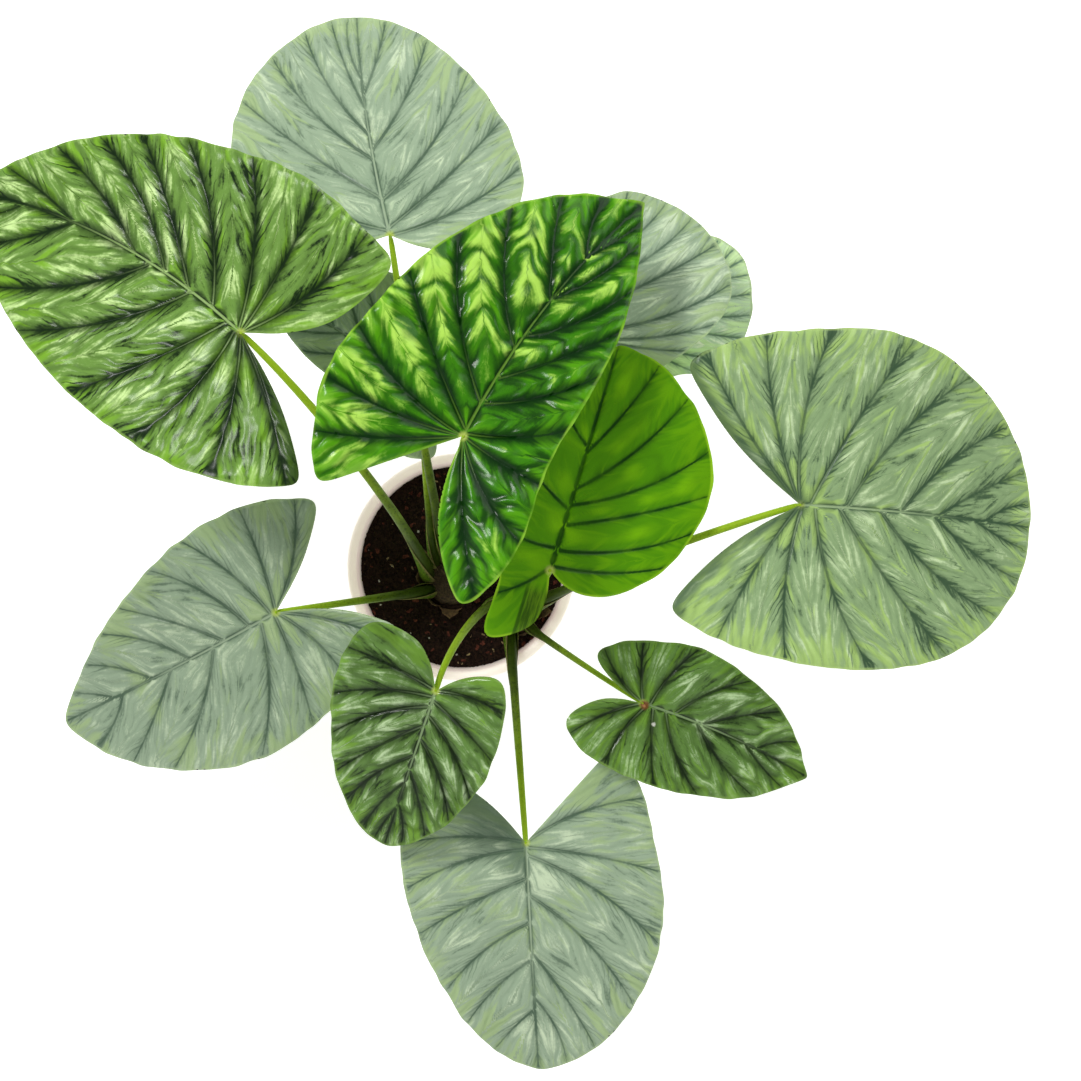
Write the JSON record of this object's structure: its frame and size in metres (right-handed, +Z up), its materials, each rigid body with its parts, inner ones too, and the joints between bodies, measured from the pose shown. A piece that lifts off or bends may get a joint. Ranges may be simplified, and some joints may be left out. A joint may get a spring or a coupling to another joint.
{
  "type": "potted alocasia",
  "caption": "Round tapered pot of dark potting mix holding a spreading rosette of large heart-shaped leaves on long arching stalks.",
  "frame": {"origin": "centre of the pot's flat underside", "axes": "+Z up along the pot's axis; +X towards the large leaf at the right and +Y away from the viewer of the plan view"},
  "size_m": [0.6077, 0.6356, 0.3527],
  "materials": {
    "pot_plastic": "plain white moulded plastic with a soft sheen",
    "potting_mix": "damp dark peat and bark with small pale and reddish chips",
    "rhizome": "rough brown skin with rings of old leaf scars",
    "stalk": "smooth waxy olive green, yellower towards the blade",
    "silver_blade": "pale silvery green leaf with darker veins and a soft waxy sheen",
    "green_blade": "quilted bright green leaf with dark veins and a waxy gloss",
    "young_blade": "smooth thin yellow-green new leaf, glossy"
  },
  "bodies": {
    "root": {"pot": "pot_plastic", "potting_mix": "potting_mix", "rhizome_main": "rhizome", "rhizome_offset": "rhizome", "leaf_stalk_01": "stalk", "leaf_stalk_02": "stalk", "leaf_stalk_03": "stalk", "leaf_stalk_04": "stalk", "leaf_stalk_05": "stalk", "leaf_stalk_06": "stalk", "leaf_stalk_07": "stalk", "leaf_stalk_08": "stalk", "leaf_stalk_09": "stalk", "leaf_stalk_10": "stalk", "leaf_stalk_11": "stalk", "leaf_stalk_12": "stalk", "leaf_blade_01": "silver_blade", "leaf_blade_02": "green_blade", "leaf_blade_03": "green_blade", "leaf_blade_04": "young_blade", "leaf_blade_05": "silver_blade", "leaf_blade_06": "silver_blade", "leaf_blade_07": "silver_blade", "leaf_blade_08": "green_blade", "leaf_blade_09": "silver_blade", "leaf_blade_10": "green_blade", "leaf_blade_11": "silver_blade", "leaf_blade_12": "silver_blade"}
  },
  "joints": []
}
